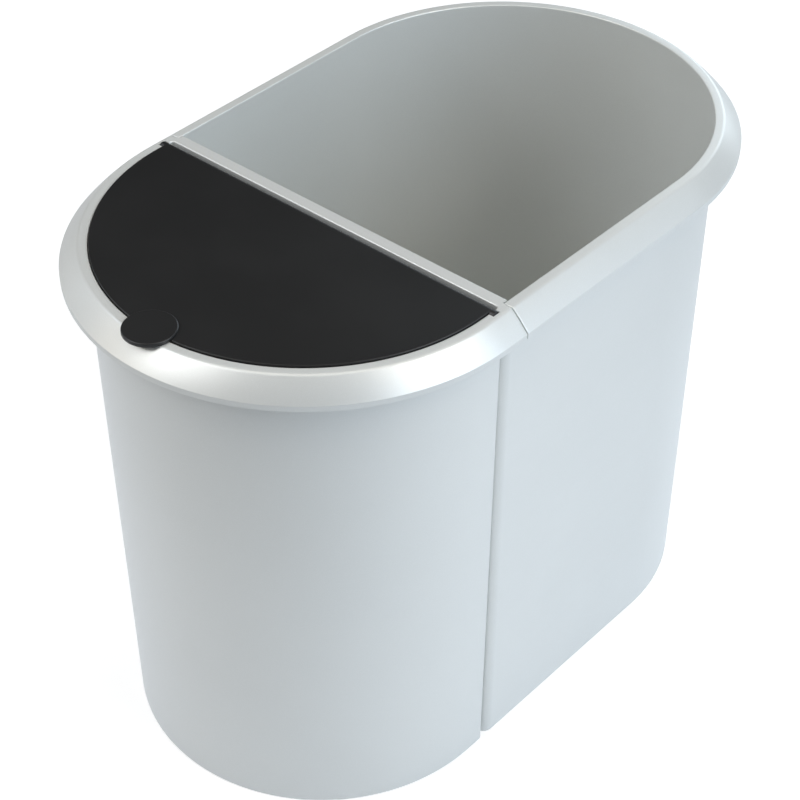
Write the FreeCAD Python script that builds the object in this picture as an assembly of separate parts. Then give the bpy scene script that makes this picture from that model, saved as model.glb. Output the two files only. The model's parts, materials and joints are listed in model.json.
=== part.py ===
import FreeCAD, Part
import os
from math import atan2, hypot, pi, radians, tan

# Oval double waste bin: a tall U-shaped bin, a half-round bin hooked over its flat wall, and a
# D-shaped lid with a round finger grip. Millimetres, +Z up, the small bin and its lid towards -Y.
# The origin is on the floor, under the middle of the rims' outline.

Vector = FreeCAD.Vector

# Rim, the same section on both bins
rim_half_width = 140.0      # centre line to the rim's outer face
rim_top = 341.0             # floor to the flat strip on top of the rim
strip_width = 5.6           # flat strip, from the opening's edge to the ridge
apron_drop = 11.9           # ridge down to the apron's lower edge
apron_bulge = 0.3           # how far the apron swells beyond a straight slope
lip_height = 3.8            # upright lip under the apron
rim_wall = 2.2
ridge_round = 2.0
lip_bevel = 0.6
rim_end_round = 0.6         # rounding of the rims' cut ends
opening_bevel = 0.6         # top inside edge of each bin

# Plan: each rim is a half circle and a straight run from there to the split between the bins
small_straight = 16.7
large_straight = 155.3
rim_end_gap = 0.2           # from the split to the end of each rim

# Walls and floors of both bins
wall = 2.4
top_half_width = 125.6      # outside of the walls at the rim's top
base_half_width = 120.6     # outside of the walls at the floor
flat_draft = 0.12           # degrees that each flat wall leans away from the other, going down
floor_thickness = 2.4
foot_height = 2.0
foot_width = 7.0
base_bevel = 2.4            # outside edge of the base

# Large bin's corners
large_corner_round = 11.0   # outside of the wall
large_floor_bevel = 3.0     # inside edge of the floor
large_recess_round = 4.0    # corners of the hollow inside the foot ring
gusset_height = 2.4         # shelf that joins each rounded corner to the end of the rim
gusset_overlap = 1.0        # how far the shelf runs past the outside of the wall

# Small bin's flat wall and corners
small_wall_back = 1.8       # from the split to the outside of the flat wall, at the top
flat_wall_gap = 0.4         # between the two flat walls, at the top
small_corner_round = 3.5
small_inner_round = 2.0
small_floor_bevel = 1.8
small_recess_round = 2.0

# Hook that folds over the large bin's flat wall
hook_thickness = 2.2
hook_seat_gap = 0.3         # hook to the top of the large bin's wall
hook_wall_gap = 0.5         # hook's lip to the inside of the large bin's wall
hook_end_gap = 0.5          # hook's ends to the opening's straight sides
hook_seat_inset = 0.2       # sides of the hook's seat inside the opening's straight sides
hook_back_round = 0.8
hook_lip_thickness = 2.2
hook_lip_depth = 14.0       # from the rim's top to the lip's lower edge
hook_lip_inset = 9.0        # from the opening's edge to each end of the lip
hook_lip_round = 4.0        # lower corners of the lip

# Lid
lid_gap = 0.4               # lid's edge to the small bin's opening
lid_proud = 1.0             # lid's top above the rim's strip
lid_thickness = 2.0
lid_edge_bevel = 0.5
skirt_inset = 3.0
skirt_thickness = 1.6
skirt_depth = 4.0
skirt_bar_gap = 1.5

# Hinge: the bar along the lid's rear edge ends in stubs that sit in notches of the small bin
hinge_bar_radius = 2.9
hinge_to_hook = 5.8         # hinge axis to the front face of the hook
hinge_clearance = 0.1       # radial, between the stubs and their seats
stub_reach = 3.0            # stubs beyond the opening's edge
stub_end_gap = 0.4
stub_end_bevel = 0.4
snap_pinch = 0.4            # how much narrower the mouth of a seat is than the bar

# Finger grip, pushed into the lid with two pegs
grip_radius = 15.1
grip_thickness = 2.4
grip_rest_gap = 0.2         # underside of the grip to the rim's strip
grip_setback = 0.3          # grip's centre behind the lid's front edge
grip_edge_bevel = 0.7
grip_step_gap = 0.1         # grip's step to the lid's front edge
peg_radius = 2.0
peg_spacing = 12.0
peg_setback = 8.0           # pegs behind the grip's centre
peg_clearance = 0.05
peg_past_lid = 0.6

far = 60.0                  # how far cutting shapes reach past what they cut

FRONT = -1                  # the small bin's side of the split
BACK = 1                    # the large bin's side of the split

# Worked out from the sizes above. Distances from the split count positive into each bin.
split_y = (small_straight - large_straight) / 2
opening_half_width = top_half_width - wall
ridge_half_width = opening_half_width + strip_width
wall_slope = (top_half_width - base_half_width) / rim_top
floor_top = foot_height + floor_thickness
hook_front = small_wall_back + wall
large_wall_front = flat_wall_gap - small_wall_back
hook_lip_front = large_wall_front + wall + hook_wall_gap
hook_back = hook_lip_front + hook_lip_thickness
hook_seat_z = rim_top - hook_thickness - hook_seat_gap
lid_top = rim_top + lid_proud
lid_underside = lid_top - lid_thickness
lid_radius = opening_half_width - lid_gap
hinge_distance = hook_front + hinge_to_hook
hinge_z = lid_top - hinge_bar_radius
grip_distance = small_straight + lid_radius - grip_setback


def at(side, distance):
    """The Y of a place at a distance from the split, on the front or back side."""
    return split_y + side * distance


def half_width(z):
    """Outside half-width of the walls at a height."""
    return base_half_width + wall_slope * z


def close(value, target):
    return abs(value - target) < 0.02


def box(x_low, x_high, y_one, y_other, z_low, z_high):
    """A box between given corners, with its two Y values in either order."""
    corner = Vector(x_low, min(y_one, y_other), z_low)
    return Part.makeBox(x_high - x_low, abs(y_other - y_one), z_high - z_low, corner)


def section(points):
    """A flat face in the XZ plane through (x, z) points."""
    places = [Vector(x, 0, z) for x, z in points]
    return Part.Face(Part.makePolygon(places + places[:1]))


def fused(shapes):
    """One clean solid from touching or overlapping shapes."""
    return shapes[0].multiFuse(shapes[1:]).removeSplitter()


def edges_where(shape, test):
    """The edges whose ends and middle all pass a test."""
    edges = []
    for edge in shape.Edges:
        first, last = edge.ParameterRange
        places = [edge.valueAt(value) for value in (first, (first + last) / 2, last)]
        if all(test(place) for place in places):
            edges.append(edge)
    return edges


def rounded(shape, radius, test):
    """The shape with the edges rounded that pass a test."""
    return shape.makeFillet(radius, edges_where(shape, test))


def bevelled(shape, width, test):
    """The shape with the edges bevelled that pass a test."""
    return shape.makeChamfer(width, edges_where(shape, test))


def mirrored(shape):
    """The same shape on the other side of the centre line."""
    return shape.mirror(Vector(0, 0, 0), Vector(1, 0, 0))


def u_sweep(side, straight, end_distance, face):
    """Carry a face round a bin's half circle and along both straight runs.

    The face lies in the XZ plane at X of zero or more. The half circle's centre is at the
    straight distance from the split, and the straight runs end at the end distance."""
    centre = Vector(0, at(side, straight), 0)
    placed = face.translated(centre)
    turn = placed.revolve(centre, Vector(0, 0, side), 180)
    run = placed.extrude(Vector(0, at(side, end_distance) - centre.y, 0))
    return fused([turn, run, mirrored(run)])


def reach(side, straight, place):
    """How far a place is from the centre line, or from the half circle's centre beyond it."""
    return hypot(place.x, max(0.0, side * (place.y - at(side, straight))))


def tapered_block(side, straight, wall_distance, inset, z_low, z_high, corner_round, low_bevel):
    """A solid with a bin's plan, tapering as the walls do and closed by a leaning flat face.

    The inset moves its faces inwards from the outside of the bin."""
    low = half_width(z_low) - inset
    high = half_width(z_high) - inset
    face = section([(0, z_low), (low, z_low), (high, z_high), (0, z_high)])
    flat_distance = wall_distance + inset
    block = u_sweep(side, straight, flat_distance - far / 2, face)
    cutter = box(-rim_half_width, rim_half_width, 0, -side * far, z_low - far, z_high + far)
    cutter.rotate(Vector(0, 0, rim_top), Vector(1, 0, 0), side * flat_draft)
    cutter.translate(Vector(0, at(side, flat_distance), 0))
    block = block.cut(cutter).removeSplitter()

    def on_upright_corner(place):
        lean = (rim_top - place.z) * tan(radians(flat_draft))
        on_flat = close(place.y, at(side, flat_distance + lean))
        return on_flat and close(abs(place.x), half_width(place.z) - inset)

    block = rounded(block, corner_round, on_upright_corner)
    if low_bevel:
        block = bevelled(block, low_bevel, lambda place: close(place.z, z_low))
    return block


def rim_ring(side, straight):
    """The folded-out rim: flat strip, swelling apron and upright lip, about one wall thick."""
    inner = opening_half_width - wall
    apron_run = rim_half_width - ridge_half_width
    apron_z = rim_top - apron_drop
    lip_z = apron_z - lip_height
    slope = atan2(apron_drop, apron_run)
    outwards = Vector(apron_drop, 0, apron_run).normalize()

    def apron_ends(depth):
        """Upper and lower end of the apron, at a depth below the outer skin."""
        upper = Vector(ridge_half_width - depth * tan(slope / 2), 0, rim_top - depth)
        lower = Vector(rim_half_width - depth, 0, apron_z - depth * tan((pi / 2 - slope) / 2))
        return upper, lower

    top, bottom = apron_ends(0)
    under_top, under_bottom = apron_ends(rim_wall)
    swell = Part.Arc(top, (top + bottom) * 0.5 + outwards * apron_bulge, bottom).toShape()
    lip_outside = Vector(rim_half_width, 0, lip_z)
    under_side = [
        lip_outside,
        Vector(rim_half_width - rim_wall, 0, lip_z),
        under_bottom,
        under_top,
        Vector(inner, 0, rim_top - rim_wall),
        Vector(inner, 0, rim_top),
        top,
    ]
    outline = Part.Wire([swell, Part.makeLine(bottom, lip_outside)]
                        + Part.makePolygon(under_side).Edges)
    ring = u_sweep(side, straight, rim_end_gap, Part.Face(outline))

    def on_ridge(place):
        return close(place.z, rim_top) and close(reach(side, straight, place), ridge_half_width)

    def on_lip(place):
        return close(place.z, lip_z) and close(reach(side, straight, place), rim_half_width)

    ring = rounded(ring, ridge_round, on_ridge)
    ring = bevelled(ring, lip_bevel, on_lip)

    def on_cut_end(place):
        """On the outer skin of the ring's two cut ends."""
        chord = rim_top - (abs(place.x) - ridge_half_width) * apron_drop / apron_run
        outside = place.z > min(rim_top - rim_wall / 2, chord - rim_wall / 2)
        on_lip_face = close(abs(place.x), rim_half_width)
        return close(place.y, at(side, rim_end_gap)) and (outside or on_lip_face)

    return rounded(ring, rim_end_round, on_cut_end)


def bin_shell(side, straight, wall_distance, outer_round, inner_round, floor_bevel, recess_round,
              extras, cuts):
    """A bin with its rim: outer block, rim and extra shapes, hollowed and cut."""
    outer = tapered_block(side, straight, wall_distance, 0, 0, rim_top, outer_round, base_bevel)
    hollow = tapered_block(side, straight, wall_distance, wall, floor_top, rim_top + far,
                           inner_round, floor_bevel)
    recess = tapered_block(side, straight, wall_distance, foot_width, -far, foot_height,
                           recess_round, 0)
    solid = fused([outer, rim_ring(side, straight)] + extras)
    solid = solid.cut(hollow.fuse(recess)).removeSplitter()

    def on_opening(place):
        """On the top inside edge, right round the opening."""
        inside = reach(side, straight, place) < opening_half_width + wall / 2
        behind_flat = side * (place.y - at(side, wall_distance + wall)) > -wall / 2
        return close(place.z, rim_top) and inside and behind_flat

    solid = bevelled(solid, opening_bevel, on_opening)
    for cut in cuts:
        solid = solid.cut(cut)
    return solid.removeSplitter()


def large_bin():
    corner_centre = large_wall_front + large_corner_round
    shelf_top = rim_top - rim_wall / 2
    shelf = box(opening_half_width - large_corner_round, top_half_width + gusset_overlap,
                at(BACK, rim_end_gap), at(BACK, corner_centre),
                hook_seat_z - gusset_height, shelf_top)
    seat_side = wall + hook_seat_inset
    seat = section([
        (0, hook_seat_z),
        (half_width(hook_seat_z) - seat_side, hook_seat_z),
        (half_width(rim_top + far) - seat_side, rim_top + far),
        (0, rim_top + far),
    ]).translated(Vector(0, at(BACK, corner_centre), 0))
    hook_seat = seat.extrude(Vector(0, -far, 0))
    before_rim = box(-rim_half_width, rim_half_width, at(BACK, rim_end_gap), at(BACK, -far),
                     hook_seat_z, rim_top + far)
    return bin_shell(BACK, large_straight, large_wall_front, large_corner_round,
                     large_corner_round - wall, large_floor_bevel, large_recess_round,
                     [shelf, mirrored(shelf)], [hook_seat, mirrored(hook_seat), before_rim])


def hook():
    """The flange that folds from the small bin's flat wall over the large bin's."""
    front_half = box(-opening_half_width, opening_half_width, at(FRONT, hook_front),
                     at(BACK, -rim_end_gap), rim_top - hook_thickness, rim_top)
    half_length = opening_half_width - hook_end_gap
    back_half = box(-half_length, half_length, at(FRONT, hook_front), at(BACK, hook_back),
                    rim_top - hook_thickness, rim_top)
    half_length = opening_half_width - hook_lip_inset
    lip_z = rim_top - hook_lip_depth
    lip = box(-half_length, half_length, at(BACK, hook_lip_front), at(BACK, hook_back),
              lip_z, rim_top - hook_thickness)
    lip = rounded(lip, hook_lip_round,
                  lambda place: close(place.z, lip_z) and close(abs(place.x), half_length))
    folded = fused([back_half, lip])
    folded = rounded(folded, hook_back_round,
                     lambda place: close(place.z, rim_top) and close(place.y, at(BACK, hook_back)))
    return fused([front_half, folded])


def hinge_seat():
    """The notch for one hinge stub: a round seat with a slightly pinched mouth above it."""
    radius = hinge_bar_radius + hinge_clearance
    start = opening_half_width - wall
    end = opening_half_width + stub_reach + stub_end_gap
    seat = Part.makeCylinder(radius, end - start, Vector(start, at(FRONT, hinge_distance), hinge_z),
                             Vector(1, 0, 0))
    half_mouth = hinge_bar_radius - snap_pinch / 2
    mouth = box(start, end, at(FRONT, hinge_distance - half_mouth),
                at(FRONT, hinge_distance + half_mouth), hinge_z, rim_top + far)
    return seat.fuse(mouth)


def small_bin():
    seat = hinge_seat()
    return bin_shell(FRONT, small_straight, small_wall_back, small_corner_round,
                     small_inner_round, small_floor_bevel, small_recess_round,
                     [hook()], [seat, mirrored(seat)])


def lid_outline(growth, z_low, z_high):
    """The lid's D-shaped plan as a solid, grown at its round edge."""
    edge = lid_radius + growth
    face = section([(0, z_low), (edge, z_low), (edge, z_high), (0, z_high)])
    return u_sweep(FRONT, small_straight, hinge_distance, face)


def pegs(radius, z_low, z_high):
    """Two upright cylinders where the grip's pegs pass through the lid."""
    distance = grip_distance - peg_setback
    shapes = []
    for x in (-peg_spacing / 2, peg_spacing / 2):
        foot = Vector(x, at(FRONT, distance), z_low)
        shapes.append(Part.makeCylinder(radius, z_high - z_low, foot))
    return shapes


def lid():
    plate = lid_outline(0, lid_underside, lid_top)
    plate = bevelled(plate, lid_edge_bevel, lambda place: close(place.z, lid_top)
                     and close(reach(FRONT, small_straight, place), lid_radius))
    bar_end = opening_half_width + stub_reach
    bar = Part.makeCylinder(hinge_bar_radius, 2 * bar_end,
                            Vector(-bar_end, at(FRONT, hinge_distance), hinge_z), Vector(1, 0, 0))
    bar = bevelled(bar, stub_end_bevel, lambda place: close(abs(place.x), bar_end))
    skirt_outer = lid_radius - skirt_inset
    skirt_low = lid_underside - skirt_depth
    face = section([
        (skirt_outer - skirt_thickness, skirt_low),
        (skirt_outer, skirt_low),
        (skirt_outer, lid_underside),
        (skirt_outer - skirt_thickness, lid_underside),
    ])
    skirt = u_sweep(FRONT, small_straight, hinge_distance + hinge_bar_radius + skirt_bar_gap, face)
    solid = fused([plate, bar, skirt])
    for hole in pegs(peg_radius + peg_clearance, lid_underside - far, lid_top + far):
        solid = solid.cut(hole)
    return solid.removeSplitter()


def lid_grip():
    underside = rim_top + grip_rest_gap
    top = underside + grip_thickness
    disc = Part.makeCylinder(grip_radius, grip_thickness,
                             Vector(0, at(FRONT, grip_distance), underside))
    disc = bevelled(disc, grip_edge_bevel, lambda place: close(place.z, top))
    disc = disc.cut(lid_outline(grip_step_gap, lid_underside, lid_top))
    return fused([disc] + pegs(peg_radius, lid_underside - peg_past_lid, lid_top))


os.makedirs("parts", exist_ok=True)
pieces = {
    "large_bin": large_bin(),
    "small_bin": small_bin(),
    "lid": lid(),
    "lid_grip": lid_grip(),
}
for name, shape in pieces.items():
    shape.exportStep("parts/" + name + ".step")
    print(name, "solids", len(shape.Solids), "valid", shape.isValid(),
          "volume", round(shape.Volume / 1000, 1), "cm3")
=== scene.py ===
import json
from math import asin, atan2, cos, hypot, pi, radians, sin, sqrt, tan

import bmesh
import bpy
import numpy as np
from mathutils import Matrix, Vector


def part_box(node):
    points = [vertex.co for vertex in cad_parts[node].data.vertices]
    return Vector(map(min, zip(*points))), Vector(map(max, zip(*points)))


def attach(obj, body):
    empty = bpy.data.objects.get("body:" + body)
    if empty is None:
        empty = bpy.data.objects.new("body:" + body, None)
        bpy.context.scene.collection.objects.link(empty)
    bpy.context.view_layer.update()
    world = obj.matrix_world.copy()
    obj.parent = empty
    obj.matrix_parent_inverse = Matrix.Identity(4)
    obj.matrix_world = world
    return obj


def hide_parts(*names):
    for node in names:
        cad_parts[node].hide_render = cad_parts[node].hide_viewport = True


# An oval double waste bin: a large U-shaped bin, a small half-round bin hooked over its flat wall,
# and a black lid with a round finger grip. Sizes in the dictionaries are millimetres and degrees.

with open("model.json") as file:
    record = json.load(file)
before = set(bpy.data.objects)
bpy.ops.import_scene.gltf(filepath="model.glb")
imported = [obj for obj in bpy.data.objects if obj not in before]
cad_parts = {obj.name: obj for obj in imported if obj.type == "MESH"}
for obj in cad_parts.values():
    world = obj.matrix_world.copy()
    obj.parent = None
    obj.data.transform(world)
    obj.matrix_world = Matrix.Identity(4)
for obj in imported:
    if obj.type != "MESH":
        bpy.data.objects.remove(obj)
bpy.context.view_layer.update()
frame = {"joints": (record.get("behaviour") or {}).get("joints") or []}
scene = bpy.context.scene
mm = 0.001

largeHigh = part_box("large_bin")[1]          # highest corner of each node's box
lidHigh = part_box("lid")[1]
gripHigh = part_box("lid_grip")[1]
hinge = next(joint for joint in frame["joints"] if joint["name"] == "lid_hinge")
hingeY = hinge["pos_m"][1] / mm
hingeZ = hinge["pos_m"][2] / mm
print("frame loaded")


class Wire:
    # one output of a node; sums and products of wires add Math nodes
    def __init__(self, graph, socket):
        self.graph = graph
        self.socket = socket

    def maths(self, operation, *values):
        return self.graph.node("Math", {"operation": operation}, dict(enumerate(values)))

    def __add__(self, other):
        return self.maths("ADD", self, other)

    __radd__ = __add__

    def __sub__(self, other):
        return self.maths("SUBTRACT", self, other)

    def __rsub__(self, other):
        return self.maths("SUBTRACT", other, self)

    def __mul__(self, other):
        return self.maths("MULTIPLY", self, other)

    __rmul__ = __mul__


class Graph:
    # the node tree of a material or a world, with one method that makes every kind of node
    def __init__(self, owner):
        owner.use_nodes = True
        self.tree = owner.node_tree
        self.tree.nodes.clear()

    def node(self, kind, settings=None, values=None, output=0):
        made = self.tree.nodes.new("ShaderNode" + kind)
        for name, value in (settings or {}).items():
            setattr(made, name, value)
        for key, value in (values or {}).items():
            if isinstance(value, Wire):
                self.tree.links.new(value.socket, made.inputs[key])
            else:
                made.inputs[key].default_value = value
        return Wire(self, made.outputs[output]) if made.outputs else made

    def smooth(self, value, low, high, toLow=0.0, toHigh=1.0):
        # a value carried smoothly from one range to another
        limits = {"Value": value, "From Min": low, "From Max": high, "To Min": toLow, "To Max": toHigh}
        return self.node("MapRange", {"interpolation_type": "SMOOTHSTEP"}, limits)

    def mixed(self, factor, one, other):
        # a colour between two colours
        return self.node("Mix", {"data_type": "RGBA"}, {0: factor, 6: one, 7: other}, output=2)


def linear(red, green, blue):
    # a colour given as it looks on a screen, 0 to 255
    shares = np.array([red, green, blue]) / 255
    light = np.where(shares <= 0.04045, shares / 12.92, ((shares + 0.055) / 1.055) ** 2.4)
    return (*light.tolist(), 1.0)


plasticShape = {
    "cloudDetail": 3.0,
    "grainDetail": 2.0,
    "cloudLow": 0.35,             # values of the noise between which the cloud comes in
    "cloudHigh": 0.65,
}


def mouldedSurface(graph, place, plastic):
    # what both plastics share: a faint cloud in the colour and the fine grain of the mould
    cloud = graph.node("TexNoise", {}, {"Vector": place, "Scale": plastic["cloudScale"],
                                        "Detail": plasticShape["cloudDetail"]})
    grain = graph.node("TexNoise", {}, {"Vector": place, "Scale": plastic["grainScale"],
                                        "Detail": plasticShape["grainDetail"]})
    share = graph.smooth(cloud, plasticShape["cloudLow"], plasticShape["cloudHigh"])
    clouded = graph.mixed(share, linear(*plastic["colour"]), linear(*plastic["cloudColour"]))
    bump = graph.node("Bump", {}, {"Height": grain, "Distance": plastic["grainHeight"],
                                   "Strength": plastic["grainStrength"]})
    return cloud, clouded, bump


silver = {
    "colour": (215, 217, 214),
    "cloudColour": (217, 219, 216),
    "flakeColour": (226, 229, 228),
    "flakeShare": 0.3,
    "flakeFrom": 0.55,            # share of the flakes that stay dull
    "roughness": 0.35,
    "cloudRoughness": 0.04,
    "flakeSmoothness": 0.02,
    "metallic": 0.30,
    "ior": 1.5,
    "flakeScale": 4000.0,
    "cloudScale": 9.0,
    "grainScale": 2600.0,
    "grainHeight": 0.00001,
    "grainStrength": 0.3,
}


def silverPlastic():
    # grey plastic with fine metal flake: satin, faintly clouded by the flow in the mould
    made = bpy.data.materials.new("silverPlastic")
    graph = Graph(made)
    place = graph.node("TexCoord", output="Object")
    flake = graph.node("TexVoronoi", {}, {"Vector": place, "Scale": silver["flakeScale"]}, "Color")
    sparkle = graph.node("SeparateColor", {}, {"Color": flake})
    cloud, clouded, bump = mouldedSurface(graph, place, silver)
    bright = graph.smooth(sparkle, silver["flakeFrom"], 1.0, 0.0, silver["flakeShare"])
    colour = graph.mixed(bright, clouded, linear(*silver["flakeColour"]))
    roughness = (silver["roughness"] + silver["cloudRoughness"] * cloud
                 - silver["flakeSmoothness"] * sparkle)
    shader = graph.node("BsdfPrincipled", {}, {
        "Base Color": colour,
        "Roughness": roughness,
        "Metallic": silver["metallic"],
        "IOR": silver["ior"],
        "Normal": bump,
    })
    graph.node("OutputMaterial", {}, {"Surface": shader})
    return made


black = {
    "colour": (28, 28, 28),
    "cloudColour": (31, 31, 31),
    "roughness": 0.38,
    "cloudRoughness": 0.06,
    "ior": 1.45,
    "cloudScale": 14.0,
    "grainScale": 1800.0,
    "grainHeight": 0.00001,
    "grainStrength": 0.4,
}


def blackPlastic():
    # near-black plastic with the fine even grain of an etched mould
    made = bpy.data.materials.new("blackPlastic")
    graph = Graph(made)
    place = graph.node("TexCoord", output="Object")
    cloud, colour, bump = mouldedSurface(graph, place, black)
    roughness = black["roughness"] + black["cloudRoughness"] * cloud
    shader = graph.node("BsdfPrincipled", {}, {
        "Base Color": colour,
        "Roughness": roughness,
        "IOR": black["ior"],
        "Normal": bump,
    })
    graph.node("OutputMaterial", {}, {"Surface": shader})
    return made


silverMaterial = silverPlastic()
blackMaterial = blackPlastic()
print("materials made")


mergeDistance = 0.000002                   # metres
samePoint = 0.00001                        # millimetres: nearer points on an outline are one
sharpAngle = 30                            # degrees: a sharper fold stays a real edge


def sheetFaces(count, rows, columns):
    # quads of a grid of rows by columns whose vertices start at a count
    index = count + np.arange(rows * columns).reshape(rows, columns)
    corners = [index[:-1, :-1], index[:-1, 1:], index[1:, 1:], index[1:, :-1]]
    return np.stack(corners, -1).reshape(-1, 4).tolist()


class Skin:
    # vertices and faces gathered patch by patch; patches that share an edge share its points,
    # and merging them closes the mesh
    def __init__(self):
        self.points = []
        self.faces = []
        self.count = 0

    def add(self, points):
        points = np.asarray(points, float).reshape(-1, 3)
        self.points.append(points)
        self.count += len(points)

    def grid(self, points):
        # points is an array of rows by columns by 3
        points = np.asarray(points, float)
        self.faces += sheetFaces(self.count, points.shape[0], points.shape[1])
        self.add(points)

    def flat(self, *runs):
        # one flat face bounded by runs of points, end to end
        outline = np.vstack([np.asarray(run, float).reshape(-1, 3) for run in runs])
        repeat = np.linalg.norm(outline - np.roll(outline, 1, 0), axis=1) < samePoint
        outline = outline[~repeat]
        self.faces.append(list(range(self.count, self.count + len(outline))))
        self.add(outline)

    def mirror(self):
        # the same patches on the other side of the centre line
        flip = np.array([-1.0, 1.0, 1.0])
        self.faces += [[index + self.count for index in face] for face in self.faces]
        self.add(np.vstack(self.points) * flip)

    def piece(self, name, side, mirrored=True):
        # the finished mesh in the row frame, its doubles merged and its faces turned outwards
        if mirrored:
            self.mirror()
        mesh = bpy.data.meshes.new(name)
        places = placed(np.vstack(self.points), side) * mm
        mesh.from_pydata(places.tolist(), [], self.faces)
        work = bmesh.new()
        work.from_mesh(mesh)
        bmesh.ops.remove_doubles(work, verts=work.verts, dist=mergeDistance)
        bmesh.ops.recalc_face_normals(work, faces=work.faces)
        openEdges = sum(1 for edge in work.edges if len(edge.link_faces) != 2)
        work.to_mesh(mesh)
        work.free()
        made = bpy.data.objects.new(name, mesh)
        scene.collection.objects.link(made)
        print(name, "faces", len(mesh.polygons), "open edges", openEdges)
        return made


def arc(centre, radius, start, end, steps):
    # points on a circle arc in a plane, angles in degrees
    angles = np.radians(np.linspace(start, end, steps + 1))
    return np.stack([centre[0] + radius * np.cos(angles), centre[1] + radius * np.sin(angles)], -1)


def run(start, end, steps):
    # evenly spaced values from one to another, without the last
    return np.linspace(start, end, steps, endpoint=False)


def combine(target, other, operation):
    # joins, or takes away, another closed mesh with an exact boolean
    step = target.modifiers.new("combine", "BOOLEAN")
    step.object = other
    step.operation = operation
    step.solver = "EXACT"
    bpy.context.view_layer.update()
    evaluated = target.evaluated_get(bpy.context.evaluated_depsgraph_get())
    mesh = bpy.data.meshes.new_from_object(evaluated)
    old = target.data
    target.modifiers.clear()
    target.data = mesh
    bpy.data.meshes.remove(old)
    bpy.data.objects.remove(other)


def finishPiece(piece, body, node, material):
    # shades a piece smooth up to its real edges, with its large flat faces left flat, and ties
    # it to the frame
    piece.data.shade_smooth()
    piece.data.set_sharp_from_angle(angle=radians(sharpAngle))
    weighting = piece.modifiers.new("flatFaces", "WEIGHTED_NORMAL")
    weighting.keep_sharp = True
    piece.data.materials.clear()
    piece.data.materials.append(material)
    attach(piece, body)
    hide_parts(node)


wallShape = {
    "thickness": 2.4,
    "topHalfWidth": 125.6,
    "baseHalfWidth": 120.6,
    "draft": 0.12,
    "floor": 2.4,
    "foot": 2.0,
    "footWidth": 7.0,
    "baseRound": 2.0,
    "leastOuterRound": 0.5,       # upright corners are never sharper than these
    "leastInnerRound": 0.3,
    "wallRows": 12,
}
rimShape = {
    "halfWidth": largeHigh.x / mm,
    "top": largeHigh.z / mm,
    "strip": 5.6,
    "apronDrop": 11.9,
    "apronBulge": 0.3,
    "lipHeight": 3.8,
    "thickness": 2.2,
    "ridgeRound": 3.0,
    "lipRound": 0.6,
    "openingRound": 0.7,
    "endRound": 0.6,
    "endGap": 0.2,
}
hingeDistance = 10.0                       # hinge axis to the split between the bins
splitY = hingeY + hingeDistance
wallSlope = (wallShape["topHalfWidth"] - wallShape["baseHalfWidth"]) / rimShape["top"]
undersideZ = rimShape["top"] - rimShape["thickness"]
openingHalfWidth = wallShape["topHalfWidth"] - wallShape["thickness"]
floorZ = wallShape["foot"] + wallShape["floor"]
flatSteps = 10
quarterSteps = 45
edgeSteps = 4                              # small rounded edges
apronSteps = 10
ridgeSteps = 6
turnSteps = 6                              # rounds at the foot, at the floor and of the hook's lip


def halfWidthAt(z):
    # outside half-width of the walls at a height
    return wallShape["baseHalfWidth"] + wallSlope * z


def leanAt(z):
    # how far a flat wall leans into its bin at a height below the rim
    return max(0.0, undersideZ - z) * tan(radians(wallShape["draft"]))


def placed(shape, side):
    # plan and height to the row frame: x, distance from the split, z
    points = np.array(shape, float)
    points[..., 1] = splitY + side * points[..., 1]
    return points


def raised(plan, z):
    # plan points at a height
    plan = np.asarray(plan, float)
    return np.concatenate([plan, np.full(plan.shape[:-1] + (1,), float(z))], -1)


def halfLoop(shape, z, inset, corner, stations):
    # right half of a wall's plan at a height: from the flat wall's middle, round the corner,
    # along the straight side and a quarter circle to the far end. The stations are places along
    # the straight side at the rim; lower down they close up as the flat wall leans in
    wide = halfWidthAt(z) - inset
    flatY = shape["wallDistance"] + inset + leanAt(z)
    cornerY = flatY + corner
    flat = np.stack([run(0, wide - corner, flatSteps), np.full(flatSteps, flatY)], -1)
    turn = [arc((wide - corner, cornerY), corner, start, end, steps)[:-1]
            for start, end, steps in shape["cornerSteps"]]
    share = (stations - stations[0]) / (shape["straight"] - stations[0])
    sideY = cornerY + share * (shape["straight"] - cornerY)
    side = np.stack([np.full(len(sideY), wide), sideY], -1)
    end = arc((0, shape["straight"]), wide, 0, 90, quarterSteps)
    end[-1, 0] = 0.0
    return np.vstack([flat, *turn, side, end])


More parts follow.
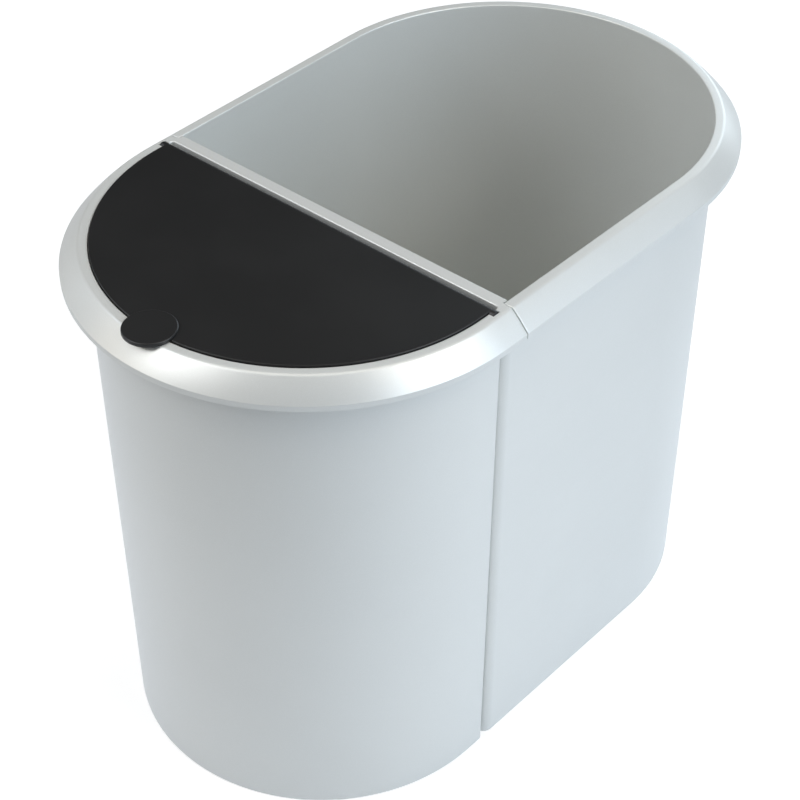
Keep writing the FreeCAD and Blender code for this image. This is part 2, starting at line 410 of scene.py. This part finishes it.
def rimSection():
    # the rim's outline from the wall under it, round the lip and back over the strip;
    # each row is half-width, height and how far it follows the rounding of the rim's cut ends
    top = rimShape["top"]
    wide = rimShape["halfWidth"]
    depth = rimShape["thickness"]
    ridge = openingHalfWidth + rimShape["strip"]
    apronZ = top - rimShape["apronDrop"]
    lipZ = apronZ - rimShape["lipHeight"]
    rise = rimShape["apronDrop"]
    reach = wide - ridge
    slope = atan2(rise, reach)
    under = [
        (halfWidthAt(undersideZ), undersideZ, 0),
        (ridge - depth * tan(slope / 2), undersideZ, 0),
        (wide - depth, apronZ - depth * tan((pi / 2 - slope) / 2), 0),
        (wide - depth, lipZ, 0),
    ]
    # the apron is an arc whose chord runs from the lip's top to the ridge; its radius follows
    # from the chord and the bulge, and the ridge is a small circle inside it, under the strip
    chord = hypot(rise, reach)
    bulge = rimShape["apronBulge"]
    radius = (chord * chord / 4 + bulge * bulge) / (2 * bulge)
    middle = np.array([(wide + ridge) / 2, (apronZ + top) / 2])
    centre = middle - (radius - bulge) * np.array([rise, reach]) / chord
    small = rimShape["ridgeRound"]
    ridgeZ = top - small
    ridgeX = centre[0] + sqrt((radius - small) ** 2 - (ridgeZ - centre[1]) ** 2)
    turn = np.degrees(atan2(ridgeZ - centre[1], ridgeX - centre[0]))
    low = np.degrees(asin((apronZ - centre[1]) / radius))
    lipRound = rimShape["lipRound"]
    lip = arc((wide - lipRound, lipZ + lipRound), lipRound, -90, 0, edgeSteps)
    apron = arc(centre, radius, low, turn, apronSteps)[:-1]
    ridgeArc = arc((ridgeX, ridgeZ), small, turn, 90, ridgeSteps)
    edge = openingHalfWidth + rimShape["openingRound"]
    skin = np.vstack([lip, apron, ridgeArc, [[(ridgeX + edge) / 2, top]]])
    weights = np.ones((len(skin), 1))
    weights[0] = 0
    return np.vstack([under, np.hstack([skin, weights]), [[edge, top, 0]]])


def openingRows(lowZ):
    # the rounded inner edge of the opening, as rim section rows, down to a height on the wall
    edge = rimShape["openingRound"]
    turned = arc((openingHalfWidth + edge, rimShape["top"] - edge), edge, 90, 180,
                 edgeSteps)[1:]
    rows = np.hstack([turned, np.ones((len(turned), 1))])
    last = [[halfWidthAt(lowZ) - wallShape["thickness"], lowZ, 0]]
    return np.vstack([rows, last])


def skinNormals(section):
    # unit normals to the left of each row's run, in the plane of half-width and height
    along = np.gradient(section[:, :2], axis=0)
    normal = np.stack([along[:, 1], -along[:, 0]], -1)
    return normal / np.linalg.norm(normal, axis=1, keepdims=True)


endAngles = np.radians(np.linspace(90, 0, edgeSteps + 1))
endPlaces = rimShape["endGap"] + rimShape["endRound"] * (1 - np.sin(endAngles))
endDepths = rimShape["endRound"] * (1 - np.cos(endAngles))


def armStations(cornerY, steps):
    # stations of a rim's arm, from its rounded cut end to the centre of the wall's corner
    return np.concatenate([endPlaces, np.linspace(endPlaces[-1], cornerY, steps + 1)[1:]])


def rimRows(shape, section, armY):
    # the section carried from a cut end, along the arm and the straight side and round the
    # quarter circle; at the cut end each skin point sinks along its normal by a quarter circle
    normals = skinNormals(section)
    stations = np.concatenate([armY, shape["outerStations"][1:]])
    depths = np.zeros(len(stations))
    depths[:len(endDepths)] = endDepths
    sunk = section[:, None, 2] * depths[None, :]
    wide = section[:, None, 0] - sunk * normals[:, None, 0]
    high = section[:, None, 1] - sunk * normals[:, None, 1]
    side = np.stack([wide, np.broadcast_to(stations, wide.shape), high], -1)
    angles = np.radians(np.linspace(0, 90, quarterSteps + 1))
    radius = section[:, None, 0]
    end = np.stack([radius * np.cos(angles), shape["straight"] + radius * np.sin(angles),
                    np.broadcast_to(section[:, None, 1], (len(section), len(angles)))], -1)
    end[:, -1, 0] = 0.0
    return np.concatenate([side, end], 1)


def wallRows(shape, topZ):
    # rows of the outside, from the recess under the floor, round the foot and up the wall
    foot = wallShape["footWidth"]
    base = wallShape["baseRound"]
    rows = [
        (wallShape["foot"], foot, shape["recessRound"]),
        (0.0, foot, shape["recessRound"]),
    ]
    for angle in np.radians(np.linspace(0, 90, turnSteps + 1)):
        inset = base * (1 - sin(angle))
        corner = max(shape["outerRound"] - inset, wallShape["leastOuterRound"])
        rows.append((base * (1 - cos(angle)), inset, corner))
    for z in np.linspace(base, topZ, wallShape["wallRows"] + 1)[1:]:
        rows.append((z, 0.0, shape["outerRound"]))
    stations = shape["outerStations"]
    return [raised(halfLoop(shape, z, inset, turn, stations), z) for z, inset, turn in rows]


def hollowRows(shape, topZ):
    # rows of the inside, from the top down the wall and round into the floor
    wall = wallShape["thickness"]
    inner = shape["innerRound"]
    low = shape["floorRound"]
    rows = [(z, wall, inner) for z in np.linspace(topZ, floorZ + low, wallShape["wallRows"] + 1)]
    for angle in np.radians(np.linspace(0, 90, turnSteps + 1))[1:]:
        inset = low * (1 - cos(angle))
        corner = max(inner - inset, wallShape["leastInnerRound"])
        rows.append((floorZ + low * (1 - sin(angle)), wall + inset, corner))
    stations = shape["innerStations"]
    return [raised(halfLoop(shape, z, inset, turn, stations), z) for z, inset, turn in rows]


rimOutline = rimSection()

large = {
    "side": 1,
    "straight": 155.3,
    "wallDistance": -1.4,
    "outerRound": 7.0,
    "innerRound": 4.6,
    "floorRound": 3.0,
    "recessRound": 2.0,
    "seatGap": 0.3,              # the hook's seat below the underside of the hook
    "shelfHeight": 2.4,
    "lowCornerSteps": 4,         # steps of each corner before the plane of the cut end, and after
    "highCornerSteps": 10,
    "sideSteps": 16,
    "armSteps": 3,
}
large["cornerY"] = large["wallDistance"] + large["outerRound"]
# the corner is stepped so that one station lies on the plane of the rim's cut end
large["endAngle"] = np.degrees(asin((rimShape["endGap"] - large["cornerY"]) / large["outerRound"]))
large["cornerSteps"] = [
    (-90, large["endAngle"], large["lowCornerSteps"]),
    (large["endAngle"], 0, large["highCornerSteps"]),
]
large["outerStations"] = run(large["cornerY"], large["straight"], large["sideSteps"])
large["innerStations"] = large["outerStations"]


def largeBin():
    side = large["side"]
    seatZ = undersideZ - large["seatGap"]
    shelfZ = seatZ - large["shelfHeight"]
    wall = wallShape["thickness"]
    skin = Skin()
    outside = wallRows(large, shelfZ)
    skin.grid(outside)
    skin.flat(outside[0])
    # stations of the arm, from the rim's cut end to the corner's centre
    armY = armStations(large["cornerY"], large["armSteps"])
    start = flatSteps + large["lowCornerSteps"]      # station on the plane of the cut end
    end = start + large["highCornerSteps"]           # where the corner meets the straight side
    outSteps = 3                                     # from the rounded corner to the square one

    def squareCorner(z, loop):
        # the path from one station of a loop to the other, out to the arm's foot and along it
        wide = loop[end][0]
        across = run(loop[start][0], wide, outSteps)
        out = np.stack([across, np.full(outSteps, rimShape["endGap"])], -1)
        along = np.stack([np.full(len(armY), wide), armY], -1)
        along[-1] = loop[end][:2]
        return raised(np.vstack([out, along]), z)

    # shelf under the rim's end, between the rounded corner and the square one
    top = outside[-1]
    square = squareCorner(shelfZ, top)
    skin.grid([top[start:end + 1], square])
    # outside of the wall above the shelf, and the rim's section all round
    section = np.vstack([rimOutline, openingRows(seatZ)])
    rows = rimRows(large, section, armY)
    foot = np.vstack([square[outSteps:-1], top[end:]])
    skin.grid(np.concatenate([foot[None], rows], 0))
    # the corner and the flat wall up to the hook's seat
    outer = raised(halfLoop(large, seatZ, 0.0, large["outerRound"], large["outerStations"]), seatZ)
    skin.grid([top[:start + 1], outer[:start + 1]])
    inside = hollowRows(large, seatZ)
    innerEdge = outer.copy()
    innerEdge[end] = inside[0][end]
    seatSquare = squareCorner(seatZ, innerEdge)
    seatOuter = np.vstack([outer[:start], seatSquare])
    skin.grid([seatOuter, inside[0][:end + 1]])
    skin.grid(inside)
    skin.flat(inside[-1])
    # the rim's cut end
    skin.flat(square[:outSteps + 1], rows[:, 0], seatSquare[outSteps::-1],
              [outer[start], top[start]])
    piece = skin.piece("largeBin", side)
    finishPiece(piece, "large_bin", "large_bin", silverMaterial)


largeBin()
print("large bin made")

small = {
    "side": -1,
    "straight": 16.7,
    "wallDistance": 1.8,
    "outerRound": 3.5,
    "innerRound": 2.0,
    "floorRound": 1.8,
    "recessRound": 2.0,
    "cornerSteps": [(-90, 0, 8)],
    "hookEndGap": 0.5,
    "hookBack": 3.7,
    "hookBackRound": 0.8,
    "lipThickness": 2.2,
    "lipDepth": 14.0,
    "lipInset": 9.0,
    "lipRound": 4.0,
    "seatRadius": 3.0,           # hinge seat, and half the width of its mouth
    "seatHalfMouth": 2.7,
    "seatEnd": 126.6,
    "seatSteps": 24,
    "cutterRise": 2.4,           # how far the seats' cutter reaches above the rim
    "sideSteps": 4,
    "armSteps": 2,
}
small["outerCornerY"] = small["wallDistance"] + small["outerRound"]
small["innerCornerY"] = small["wallDistance"] + wallShape["thickness"] + small["innerRound"]
small["innerStations"] = run(small["innerCornerY"], small["straight"],
                              small["sideSteps"])
small["outerStations"] = np.concatenate([[small["outerCornerY"]], small["innerStations"]])


def smallBin():
    side = small["side"]
    top = rimShape["top"]
    wall = wallShape["thickness"]
    edge = rimShape["openingRound"]
    corner = flatSteps + small["cornerSteps"][0][2]    # station where a corner meets a side
    skin = Skin()
    outside = wallRows(small, undersideZ)
    skin.grid(outside)
    skin.flat(outside[0])
    armY = armStations(small["outerCornerY"], small["armSteps"])
    rows = rimRows(small, rimOutline, armY)
    skin.grid(rows)
    # the rounded edge of the opening, then the hollow
    inside = []
    for angle in np.radians(np.linspace(90, 180, edgeSteps + 1))[:-1]:
        out = edge * (1 + cos(angle))
        z = top - edge + edge * sin(angle)
        inset = halfWidthAt(z) - openingHalfWidth - out
        loop = halfLoop(small, z, inset, small["innerRound"] + out, small["innerStations"])
        inside.append(raised(loop, z))
    inside += hollowRows(small, top - edge)
    skin.grid(inside)
    skin.flat(inside[-1])
    # the hook: rows across its back, from the top round to the underside
    hookEnd = openingHalfWidth - small["hookEndGap"]
    lipEnd = openingHalfWidth - small["lipInset"]
    lipTurn = small["lipRound"]
    turn = lipEnd - lipTurn + lipTurn * np.sin(np.radians(np.linspace(0, 90, turnSteps + 1)))
    across = np.concatenate([run(0, lipEnd - lipTurn, flatSteps), turn, [hookEnd]])
    bend = small["hookBackRound"]
    backY = -small["hookBack"]
    profile = arc((backY + bend, top - bend), bend, 90, 180, edgeSteps)
    profile = np.vstack([profile, [[backY, undersideZ]]])
    back = np.array([[(x, y, z) for x in across] for y, z in profile])
    skin.grid(back)
    # the hook's lip: its lower corners are quarter circles
    lipX = across[:-1]
    past = np.maximum(lipX - (lipEnd - lipTurn), 0.0)
    lowZ = top - small["lipDepth"] + lipTurn - np.sqrt(lipTurn ** 2 - past ** 2)
    frontY = backY + small["lipThickness"]
    corners = [(backY, undersideZ), (backY, None), (frontY, None), (frontY, undersideZ)]
    lip = np.array([np.stack([lipX, np.full(len(lipX), y), lowZ if z is None else
                              np.full(len(lipX), z)], -1) for y, z in corners])
    skin.grid(lip)
    skin.flat(lip[:, -1])
    # flat faces: the hook's end, the rim's cut end, the top and the underside
    endY = rimShape["endGap"]
    upper = [(hookEnd, endY, top)]
    lower = [(hookEnd, endY, undersideZ)]
    skin.flat(upper, back[:, -1], lower)
    skin.flat(lower, rows[:, 0], upper)
    armEnd = len(armY)                     # station of the inner corner along the rim's rows
    skin.flat(inside[0][:corner + 1], rows[-1][:armEnd + 1][::-1], upper, back[0][::-1])
    skin.flat(outside[-1][:corner + 1], rows[0][:armEnd][::-1], lower, back[-1][:-3:-1],
              lip[3][::-1])
    piece = skin.piece("smallBin", side)
    cutHingeSeats(piece)
    finishPiece(piece, "small_bin", "small_bin", silverMaterial)


def prism(name, outline, low, high):
    # a closed solid: an outline of distance and height carried along X
    outline = np.asarray(outline, float)
    ends = [np.insert(outline, 0, x, axis=1) for x in (low, high)]
    skin = Skin()
    skin.grid([np.vstack([end, end[:1]]) for end in ends])
    skin.flat(ends[0])
    skin.flat(ends[1])
    return skin.piece(name, small["side"], mirrored=False)


def cutHingeSeats(piece):
    # a round seat for each hinge stub, open upwards through a slightly narrower mouth
    radius = small["seatRadius"]
    half = small["seatHalfMouth"]
    turn = np.degrees(atan2(sqrt(radius ** 2 - half ** 2), half))
    bowl = arc((hingeDistance, hingeZ), radius, 180 - turn, 360 + turn, small["seatSteps"])
    above = rimShape["top"] + small["cutterRise"]
    mouth = [(hingeDistance + half, above), (hingeDistance - half, above)]
    inner = openingHalfWidth - wallShape["thickness"]
    for low, high in ((inner, small["seatEnd"]), (-small["seatEnd"], -inner)):
        combine(piece, prism("seatCutter", np.vstack([bowl, mouth]), low, high), "DIFFERENCE")


smallBin()
print("small bin made")

lidShape = {
    "radius": 122.8,
    "thickness": 2.0,
    "edgeRound": 0.5,
    "barRadius": 2.9,
    "barRound": 0.4,
    "skirtInset": 3.0,
    "skirtThickness": 1.6,
    "skirtDepth": 4.0,
    "skirtGap": 1.5,
    "rearOverlap": 0.4,          # the plate's rear edge from the bar's axis
    "holeRadius": 2.05,
    "edgeSteps": 5,
    "lowerSteps": 3,
    "barSteps": 48,
}
gripShape = {
    "radius": gripHigh.x / mm,
    "thickness": 2.4,
    "restGap": 0.2,
    "setback": 0.3,
    "edgeRound": 0.8,
    "lowerRound": 0.3,
    "stepGap": 0.1,
    "pegRadius": 2.0,
    "pegSpacing": 12.0,
    "pegSetback": 8.0,
    "pegPastLid": 0.6,
    "edgeSteps": 6,
    "lowerSteps": 3,
}
lidTop = lidHigh.z / mm
lidUnderside = lidTop - lidShape["thickness"]
gripDistance = small["straight"] + lidShape["radius"] - gripShape["setback"]
pegY = gripDistance - gripShape["pegSetback"]
pegPlaces = (-gripShape["pegSpacing"] / 2, gripShape["pegSpacing"] / 2)
latheSteps = 72


def halfD(radius, startY):
    # right half of a D-shaped path: straight from a distance, then a quarter circle
    steps = small["sideSteps"]
    straight = np.stack([np.full(steps, radius), run(startY, small["straight"], steps)], -1)
    end = arc((0, small["straight"]), radius, 0, 90, quarterSteps)
    end[-1, 0] = 0.0
    return np.vstack([straight, end])


def dPlate(name, profile, startY):
    # a closed D-shaped plate: profile rows are radius and height, from the top to the underside
    rows = [raised(halfD(radius, startY), z) for radius, z in profile]
    skin = Skin()
    skin.grid(rows)
    skin.flat(rows[0], [(0, startY, profile[0][1])])
    skin.flat(rows[-1], [(0, startY, profile[-1][1])])
    rear = [row[0] for row in rows]
    skin.flat(rear, [(0, startY, profile[-1][1]), (0, startY, profile[0][1])])
    return skin.piece(name, small["side"])


def lathe(name, profile, x, distance):
    # a closed round solid about an upright axis, flat where the profile starts and ends
    angles = np.radians(np.linspace(0, 360, latheSteps + 1))
    angles[-1] = 0.0
    rows = [np.stack([x + radius * np.cos(angles), distance + radius * np.sin(angles),
                      np.full(len(angles), z)], -1) for radius, z in profile]
    skin = Skin()
    skin.grid(rows)
    skin.flat(rows[0][:-1])
    skin.flat(rows[-1][:-1])
    return skin.piece(name, small["side"], mirrored=False)


def cylinder(name, radius, x, distance, low, high):
    return lathe(name, [(radius, high), (radius, low)], x, distance)


def lid():
    radius = lidShape["radius"]
    turn = lidShape["edgeRound"]
    edge = arc((radius - turn, lidTop - turn), turn, 90, 0, lidShape["edgeSteps"])
    low = arc((radius - turn / 2, lidUnderside + turn / 2), turn / 2, 0, -90,
              lidShape["lowerSteps"])
    made = dPlate("lidPlate", np.vstack([edge, low]), hingeDistance + lidShape["rearOverlap"])
    # the bar along the rear edge, whose ends are the hinge stubs
    bar = lidShape["barRadius"]
    angles = np.radians(np.linspace(0, 360, lidShape["barSteps"] + 1))
    angles[-1] = 0.0
    stubEnd = lidHigh.x / mm
    endTurn = lidShape["barRound"]
    ends = arc((stubEnd - endTurn, bar - endTurn), endTurn, 90, 0, edgeSteps)
    ends = np.vstack([ends, [[stubEnd, 0]]])
    profile = np.vstack([ends[::-1] * (-1, 1), ends])
    skin = Skin()
    skin.grid([np.stack([np.full(len(angles), x), hingeDistance + wide * np.cos(angles),
                         hingeZ + wide * np.sin(angles)], -1) for x, wide in profile])
    combine(made, skin.piece("bar", small["side"], mirrored=False), "UNION")
    # the skirt under the plate
    outer = radius - lidShape["skirtInset"]
    inner = outer - lidShape["skirtThickness"]
    startY = hingeDistance + bar + lidShape["skirtGap"]
    lowZ = lidUnderside - lidShape["skirtDepth"]
    highZ = lidUnderside + turn
    section = [(inner, lowZ), (outer, lowZ), (outer, highZ), (inner, highZ), (inner, lowZ)]
    rows = [raised(halfD(wide, startY), z) for wide, z in section]
    skin = Skin()
    skin.grid(rows)
    skin.flat([row[0] for row in rows[:-1]])
    combine(made, skin.piece("skirt", small["side"]), "UNION")
    for x in pegPlaces:
        hole = cylinder("hole", lidShape["holeRadius"], x, pegY, lowZ, lidTop + bar)
        combine(made, hole, "DIFFERENCE")
    finishPiece(made, "lid", "lid", blackMaterial)


def lidGrip():
    radius = gripShape["radius"]
    low = rimShape["top"] + gripShape["restGap"]
    high = low + gripShape["thickness"]
    turn = gripShape["edgeRound"]
    under = gripShape["lowerRound"]
    upper = arc((radius - turn, high - turn), turn, 90, 0, gripShape["edgeSteps"])
    lower = arc((radius - under, low + under), under, 0, -90, gripShape["lowerSteps"])
    made = lathe("lidGrip", np.vstack([upper, lower]), 0, gripDistance)
    # its rear half lies on the lid, so it is stepped up by what lies below the lid's top
    grown = lidShape["radius"] + gripShape["stepGap"]
    step = dPlate("step", [(grown, lidTop), (grown, lidUnderside)], hingeDistance)
    combine(made, step, "DIFFERENCE")
    for x in pegPlaces:
        peg = cylinder("peg", gripShape["pegRadius"], x, pegY,
                       lidUnderside - gripShape["pegPastLid"], lidTop + under)
        combine(made, peg, "UNION")
    finishPiece(made, "lid", "lid_grip", blackMaterial)


lid()
lidGrip()
print("lid and grip made")

stageShape = {
    "width": 12.0,                # metres
    "colour": (188, 188, 188),
    "glow": 0.65,                 # seen by the camera beside the bin, and beyond the lamps' reach
    "glowFar": 1.0,
    "lampsFrom": 0.8,
    "lampsTo": 2.5,
    "glossyColour": (0.83, 0.90, 1.0),
    "glossyNear": 0.75,           # glow in reflections beside the bin and further out
    "glossyFar": 0.20,
    "nearRadius": 0.25,
    "farRadius": 0.75,
}


def stageFloor():
    mesh = bpy.data.meshes.new("stageFloor")
    half = stageShape["width"] / 2
    corners = [(-half, -half, 0), (half, -half, 0), (half, half, 0), (-half, half, 0)]
    mesh.from_pydata(corners, [], [(0, 1, 2, 3)])
    made = bpy.data.objects.new("stageFloor", mesh)
    scene.collection.objects.link(made)
    material = bpy.data.materials.new("stageFloor")
    graph = Graph(material)
    paper = graph.node("BsdfDiffuse", {}, {"Color": linear(*stageShape["colour"])})
    # the floor is lifted to white where it is seen, and still takes the bin's shadow; its
    # reflection is a pale sheet of paper round the bin
    camera = graph.node("LightPath", output="Is Camera Ray")
    clear = graph.node("LightPath", output="Is Transmission Ray")
    glossy = graph.node("LightPath", output="Is Glossy Ray")
    place = graph.node("TexCoord", output="Object")
    out = graph.node("VectorMath", {"operation": "LENGTH"}, {0: place}, "Value")
    lift = graph.smooth(out, stageShape["lampsFrom"], stageShape["lampsTo"],
                        stageShape["glow"], stageShape["glowFar"])
    white = graph.node("Emission", {}, {"Strength": (camera + clear) * lift})
    sheet = graph.smooth(out, stageShape["nearRadius"], stageShape["farRadius"],
                         stageShape["glossyNear"], stageShape["glossyFar"])
    cool = graph.node("Emission", {}, {"Color": (*stageShape["glossyColour"], 1.0),
                                       "Strength": glossy * sheet})
    glow = graph.node("AddShader", {}, {0: white, 1: cool})
    both = graph.node("AddShader", {}, {0: paper, 1: glow})
    graph.node("OutputMaterial", {}, {"Surface": both})
    mesh.materials.append(material)


studio = {
    "room": 0.02,                 # strength of the room's own light
    "bandLow": 0.0,               # sine of the heights between which the white wall ends
    "bandHigh": 0.08,
    "aim": (0.0, 0.0, 0.2),       # metres: where every lamp points, and its distance from there
    "distance": 2.0,
}
# azimuth and elevation in degrees, side of the square in metres, watts, colour
lamps = {
    "leftKey": (-115, 50, 0.9, 10.7, (1.0, 0.99, 0.99)),
    "leftStrip": (-118, 35, 0.4, 3.3, (0.95, 0.97, 1.0)),
    "leftLow": (-130, 20, 0.9, 4.3, (1.0, 0.93, 0.84)),
    "leftSide": (-160, 20, 0.9, 2.1, (0.82, 0.90, 1.0)),
    "leftBack": (-150, 50, 0.9, 5.9, (0.76, 0.86, 1.0)),
    "rightKey": (10, 50, 0.9, 12.3, (1.0, 0.95, 0.89)),
    "rightWide": (10, 20, 1.7, 29.0, (0.72, 0.85, 1.0)),
    "back": (100, 20, 1.3, 12.5, (0.78, 0.90, 1.0)),
    "top": (0, 90, 1.8, 10.5, (1.0, 0.93, 0.84)),
}


def studioWorld():
    # a dim room with a low white wall round it; the camera sees white everywhere
    world = bpy.data.worlds.new("studio")
    scene.world = world
    graph = Graph(world)
    camera = graph.node("LightPath", output="Is Camera Ray")
    clear = graph.node("LightPath", output="Is Transmission Ray")
    glossy = graph.node("LightPath", output="Is Glossy Ray")
    direction = graph.node("TexCoord", output="Generated")
    height = graph.node("SeparateXYZ", {}, {"Vector": direction}, "Z")
    wall = graph.smooth(height, studio["bandLow"], studio["bandHigh"], 1.0, 0.0)
    seen = camera + (glossy + clear) * wall
    room = graph.node("Background", {}, {"Color": (1.0, 1.0, 1.0, 1.0), "Strength": studio["room"]})
    white = graph.node("Background", {}, {"Color": (1.0, 1.0, 1.0, 1.0), "Strength": 1.0})
    both = graph.node("MixShader", {}, {0: seen, 1: room, 2: white})
    graph.node("OutputWorld", {}, {"Surface": both})


def softbox(name, azimuth, elevation, side, power, colour):
    # a square lamp on a sphere round the bin, facing its middle
    light = bpy.data.lights.new(name, "AREA")
    light.shape = "SQUARE"
    light.size = side
    light.energy = power
    light.color = colour
    turn = radians(azimuth)
    tilt = radians(elevation)
    out = Vector((cos(turn) * cos(tilt), sin(turn) * cos(tilt), sin(tilt)))
    made = bpy.data.objects.new(name, light)
    made.location = Vector(studio["aim"]) + out * studio["distance"]
    made.rotation_euler = (-out).to_track_quat("-Z", "Y").to_euler()
    scene.collection.objects.link(made)


view = {                        # the photograph's view, metres and degrees, pixels of 800
    "azimuth": 41.464,
    "elevation": 39.683,
    "roll": -0.169,
    "distance": 1.3123,
    "target": (0.0, -0.0118, 0.1631),
    "focalPixels": 2092.5,
    "centreX": 401.2,
    "centreY": 412.3,
    "pixels": 800,
    "sensor": 36.0,               # millimetres
}


def photoCamera():
    data = bpy.data.cameras.new("photoCamera")
    made = bpy.data.objects.new("photoCamera", data)
    scene.collection.objects.link(made)
    turn = radians(view["azimuth"])
    tilt = radians(view["elevation"])
    back = Vector((sin(turn) * cos(tilt), -cos(turn) * cos(tilt), sin(tilt)))
    made.location = Vector(view["target"]) + back * view["distance"]
    aimed = (-back).to_track_quat("-Z", "Y").to_matrix().to_4x4()
    aimed = aimed @ Matrix.Rotation(radians(view["roll"]), 4, "Z")
    made.rotation_euler = aimed.to_euler()
    data.sensor_width = view["sensor"]
    data.lens = data.sensor_width * view["focalPixels"] / view["pixels"]
    data.shift_x = (view["pixels"] / 2 - view["centreX"]) / view["pixels"]
    data.shift_y = (view["centreY"] - view["pixels"] / 2) / view["pixels"]
    scene.camera = made


stageFloor()
studioWorld()
photoCamera()
for name, lamp in lamps.items():
    softbox(name, *lamp)
scene.view_settings.view_transform = "Standard"
print("floor, lamps and camera set")
